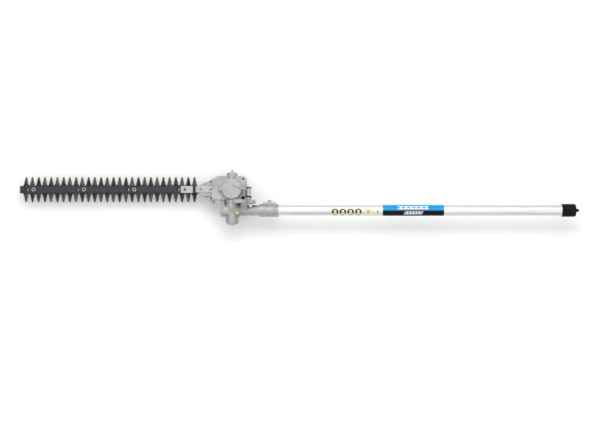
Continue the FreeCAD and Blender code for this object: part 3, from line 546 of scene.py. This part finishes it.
FASTENER_PIECES = [
    ("clamp_bolts", "Bright zinc", "screw_round"),
    ("locating_screw", "Bright zinc", "screw_round"),
    ("twig_guard_screws", "Bright zinc", "screw_round"),
    ("boss_nut", "Bright zinc", "screw_round"),
    ("index_plate_bolts", "Bright zinc", "screw_round"),
    ("arm_screws", "Bright zinc", "screw_round"),
    ("case_screws", "Bright zinc", "screw_round"),
    ("cover_screws", "Bright zinc", "screw_round"),
    ("guide_bolts", "Bright zinc", "screw_round"),
    ("guide_nuts", "Bright zinc", "screw_round"),
    ("guide_washers", "Bright zinc", "screw_round"),
    ("grease_plug", "Brass", "screw_round"),
    ("grease_nipples", "Brass", "screw_round"),
]
RUBBER_PIECES = [
    ("end_cap", "Rubber", "rubber_round"),
    ("rubber_plug", "Rubber", "plate_round"),
]
CUTTER_PIECES = [
    ("upper_blade", "Upper blade steel", None),
    ("lower_blade", "Lower blade steel", None),
    ("guide_bar", "Guide coating", "screw_round"),
    ("zinc_plate", "Bright zinc", "plate_round"),
]
SOCKET_NODES = ("arm_screws", "case_screws", "guide_bolts")
INNER_NODES = {
    "Nylon": ["shaft_bushes"],
    "Black oxide": ["swivel_clip", "wear_plate"],
    "Gear steel": ["drive_shaft", "input_pinion", "input_bearings", "swivel_shaft", "swivel_bevel",
                   "head_pinion", "swivel_bearings", "crank_shaft", "crank_gear", "upper_cam", "lower_cam",
                   "crank_bearings", "plunger_spring"],
    "Bright zinc": ["guide_spacers"],
}


def link(mesh, name):
    piece = bpy.data.objects.new(name, mesh)
    bpy.context.scene.collection.objects.link(piece)
    return piece


def rounded_mesh(node, radius):
    """The node's own surface with its triangles joined into flat faces and its sharp edges rounded."""
    work = bmesh.new()
    work.from_mesh(NODES[node].data)
    bmesh.ops.remove_doubles(work, verts=work.verts, dist=WELD)
    bmesh.ops.dissolve_limit(work, angle_limit=FLAT_ANGLE, verts=work.verts, edges=work.edges,
                             use_dissolve_boundaries=False)
    if radius:
        edge = work.faces.layers.float.new("edge")
        sharp = [e for e in work.edges if len(e.link_faces) == 2 and e.calc_face_angle(0.0) > ROUND_ANGLE]
        rounded = bmesh.ops.bevel(work, geom=sharp, offset=radius, offset_type="OFFSET", segments=2,
                                  profile=0.6, affect="EDGES", clamp_overlap=True)
        for face in rounded["faces"]:
            face[edge] = 1.0
    bmesh.ops.triangulate(work, faces=[f for f in work.faces if len(f.verts) > 4])
    mesh = bpy.data.meshes.new(node + "_finished")
    work.to_mesh(mesh)
    work.free()
    mesh.shade_smooth()
    mesh.set_sharp_from_angle(angle=SHADE_ANGLE)
    return mesh


def paint_socket_shade(mesh):
    """Mark the insides of upright screws' key sockets for painted shade: the finish darkens these faces
    almost to black, standing in for the shade deep in the sockets.
    """
    reach, rim_depth, socket_r = 6 * MM, 0.4 * MM, 2.4 * MM
    shallow, deep = 0.3 * MM, 2.6 * MM
    work = bmesh.new()
    work.from_mesh(mesh)
    # The face layer that marks where painted shade goes in the sockets.
    grime = work.faces.layers.float.new("grime")
    for face in work.faces:
        middle = face.calc_center_median()
        near = [v.co for v in work.verts
                if abs(v.co.x - middle.x) < reach and abs(v.co.y - middle.y) < reach]
        top = max(place.z for place in near)
        rim = [place for place in near if place.z > top - rim_depth]
        centre = sum(rim, Vector()) / len(rim)
        if shallow < top - middle.z < deep and (middle.xy - centre.xy).length < socket_r:
            face[grime] = 1.0
    work.to_mesh(mesh)
    work.free()


def even_shading(piece):
    """Keep large flat faces flat: the small rounded edges take up the whole turn in the shading."""
    weights = piece.modifiers.new("Even shading", "WEIGHTED_NORMAL")
    weights.keep_sharp = True
    weights.weight = 80


def finished_piece(node, finish_name, round_name):
    """A finished piece that stands for a node and moves with the node's body."""
    radius = getattr(sizes(), round_name) if round_name else 0.0
    piece = link(rounded_mesh(node, radius), node + "_finished")
    piece.data.materials.clear()
    piece.data.materials.append(make_finish(finish_name))
    if radius:
        even_shading(piece)
    # Screws with key sockets get painted shade in their sockets.
    if node in SOCKET_NODES:
        paint_socket_shade(piece.data)
    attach(piece, NODES[node]["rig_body"])
    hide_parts(node)


class PieceOperator:
    """Finishes each piece in a list."""
    bl_options = {"REGISTER", "UNDO"}
    rows = []

    def execute(self, context):
        for row in self.rows:
            finished_piece(*row)
        return {"FINISHED"}


class TRIMMER_OT_pole(PieceOperator, bpy.types.Operator):
    """Finish the tube, its label and its stickers"""
    bl_idname = "trimmer.pole"
    bl_label = "Pole"
    rows = POLE_PIECES


class TRIMMER_OT_gearcase(PieceOperator, bpy.types.Operator):
    """Finish the pole-side gearcase, its guard and the index plate"""
    bl_idname = "trimmer.gearcase"
    bl_label = "Pole-side gearcase"
    rows = GEARCASE_PIECES


class TRIMMER_OT_head(PieceOperator, bpy.types.Operator):
    """Finish the blade head's castings and arm"""
    bl_idname = "trimmer.head"
    bl_label = "Blade head"
    rows = HEAD_PIECES


class TRIMMER_OT_lock(PieceOperator, bpy.types.Operator):
    """Finish the lock plunger and its lever"""
    bl_idname = "trimmer.lock"
    bl_label = "Lock"
    rows = LOCK_PIECES


class TRIMMER_OT_fasteners(PieceOperator, bpy.types.Operator):
    """Finish the screws, nuts, washers and grease fittings"""
    bl_idname = "trimmer.fasteners"
    bl_label = "Fasteners"
    rows = FASTENER_PIECES


class TRIMMER_OT_rubber(PieceOperator, bpy.types.Operator):
    """Finish the rubber end cap and plug"""
    bl_idname = "trimmer.rubber"
    bl_label = "Rubber parts"
    rows = RUBBER_PIECES


class TRIMMER_OT_cutter(PieceOperator, bpy.types.Operator):
    """Finish the blades, guide bar and clamp plate"""
    bl_idname = "trimmer.cutter"
    bl_label = "Cutter"
    rows = CUTTER_PIECES


class TRIMMER_OT_inner(bpy.types.Operator):
    """Give the hidden shafts, gears and bearings their finishes"""
    bl_idname = "trimmer.inner"
    bl_label = "Hidden drive"

    def execute(self, context):
        for finish_name, nodes in INNER_NODES.items():
            for node in nodes:
                for place in NODES[node].material_slots:
                    place.material = make_finish(finish_name)
        return {"FINISHED"}


# ---- Stage ----


def area_light(name, place, target, size, power):
    lamp = bpy.data.lights.new(name, "AREA")
    lamp.shape = "RECTANGLE"
    lamp.size, lamp.size_y = size
    lamp.energy = power
    holder = bpy.data.objects.new(name, lamp)
    holder.location = place
    holder.rotation_euler = (Vector(target) - Vector(place)).to_track_quat("-Z", "Y").to_euler()
    bpy.context.scene.collection.objects.link(holder)


def make_floor(low, middle):
    """A plain pale floor at the given height, with a barely visible fleck."""
    work = bmesh.new()
    bmesh.ops.create_grid(work, x_segments=1, y_segments=1, size=6.0)
    mesh = bpy.data.meshes.new("floor")
    work.to_mesh(mesh)
    work.free()
    floor = link(mesh, "floor")
    floor.location = (middle.x, middle.y, low)
    material, tree, shader, place = finish("Studio floor", 0.0)
    fleck = noise(tree, place, 30.0, 2.0)
    tone = colours().floor
    tree.links.new(mix(tree, fleck, darker(tone, 0.995), tone), shader.inputs["Base Color"])
    shader.inputs["Roughness"].default_value = 0.85
    mesh.materials.append(material)


def make_world():
    """A soft dome of light, bright overhead and darker towards the horizon, as under a large softbox."""
    world = bpy.data.worlds.new("Studio")
    world.use_nodes = True
    tree = world.node_tree
    sky = tree.nodes["Background"]
    horizon, overhead = 0.50, 0.96
    sky.inputs["Color"].default_value = (1.0, 1.0, 1.0, 1.0)
    parts = tree.nodes.new("ShaderNodeSeparateXYZ")
    tree.links.new(tree.nodes.new("ShaderNodeTexCoord").outputs["Generated"], parts.inputs[0])
    tree.links.new(spread(tree, parts.outputs["Z"], 0.0, 0.80, horizon, overhead), sky.inputs["Strength"])
    bpy.context.scene.world = world
    bpy.context.scene.view_settings.view_transform = "Standard"


def make_camera(middle):
    """A long lens, almost straight above, tipped slightly towards the near side."""
    data = bpy.data.cameras.new("camera")
    distance = sizes().camera_distance
    data.lens = data.sensor_width * distance / sizes().view_width
    data.clip_end = 50.0
    camera = bpy.data.objects.new("camera", data)
    tip = math.radians(88.0)
    camera.location = middle + Vector((0.0, -math.cos(tip), math.sin(tip))) * distance
    camera.rotation_euler = (math.radians(90.0) - tip, 0.0, 0.0)
    bpy.context.scene.collection.objects.link(camera)
    bpy.context.scene.camera = camera


class TRIMMER_OT_stage(bpy.types.Operator):
    """Make the floor just under the lowest point, the soft lights and the camera"""
    bl_idname = "trimmer.stage"
    bl_label = "Studio"

    def execute(self, context):
        low, high = cad_bounds
        middle = Vector(((low[0] + high[0]) / 2 + 3 * MM, -1.5 * MM, 0.0))
        make_floor(low[2] - 0.5 * MM, middle)
        make_world()
        area_light("key", (-0.75, 1.65, 2.3), (-0.7, 0.0, 0.0), (2.4, 1.2), 34.0)
        area_light("fill", (0.4, -1.6, 1.6), (-0.6, 0.0, 0.0), (1.6, 1.2), 2.0)
        area_light("strip", (-0.65, -0.30, 1.7), (-0.65, 0.0, 0.0), (1.9, 0.10), 2.2)
        make_camera(middle)
        return {"FINISHED"}


# ---- Panel and registration ----

STEPS = (TRIMMER_OT_pole, TRIMMER_OT_gearcase, TRIMMER_OT_head, TRIMMER_OT_lock, TRIMMER_OT_fasteners,
         TRIMMER_OT_rubber, TRIMMER_OT_cutter, TRIMMER_OT_inner, TRIMMER_OT_stage)


class TRIMMER_PT_panel(bpy.types.Panel):
    """Sizes, colours and the steps that build the scene"""
    bl_idname = "TRIMMER_PT_panel"
    bl_label = "Hedge trimmer attachment"
    bl_space_type = "VIEW_3D"
    bl_region_type = "UI"
    bl_category = "Trimmer"

    def draw(self, context):
        for group in (context.scene.trimmer_sizes, context.scene.trimmer_colours):
            box = self.layout.box()
            for name in group.__annotations__:
                box.prop(group, name)
        for step in STEPS:
            self.layout.operator(step.bl_idname)


CLASSES = (TrimmerSizes, TrimmerColours) + STEPS + (TRIMMER_PT_panel,)


def register():
    for item in CLASSES:
        bpy.utils.register_class(item)
    bpy.types.Scene.trimmer_sizes = bpy.props.PointerProperty(type=TrimmerSizes)
    bpy.types.Scene.trimmer_colours = bpy.props.PointerProperty(type=TrimmerColours)


def unregister():
    del bpy.types.Scene.trimmer_colours
    del bpy.types.Scene.trimmer_sizes
    for item in reversed(CLASSES):
        bpy.utils.unregister_class(item)


def main():
    register()
    bpy.ops.trimmer.pole()
    bpy.ops.trimmer.gearcase()
    bpy.ops.trimmer.head()
    bpy.ops.trimmer.lock()
    bpy.ops.trimmer.fasteners()
    bpy.ops.trimmer.rubber()
    bpy.ops.trimmer.cutter()
    bpy.ops.trimmer.inner()
    bpy.ops.trimmer.stage()


if __name__ == "__main__":
    main()
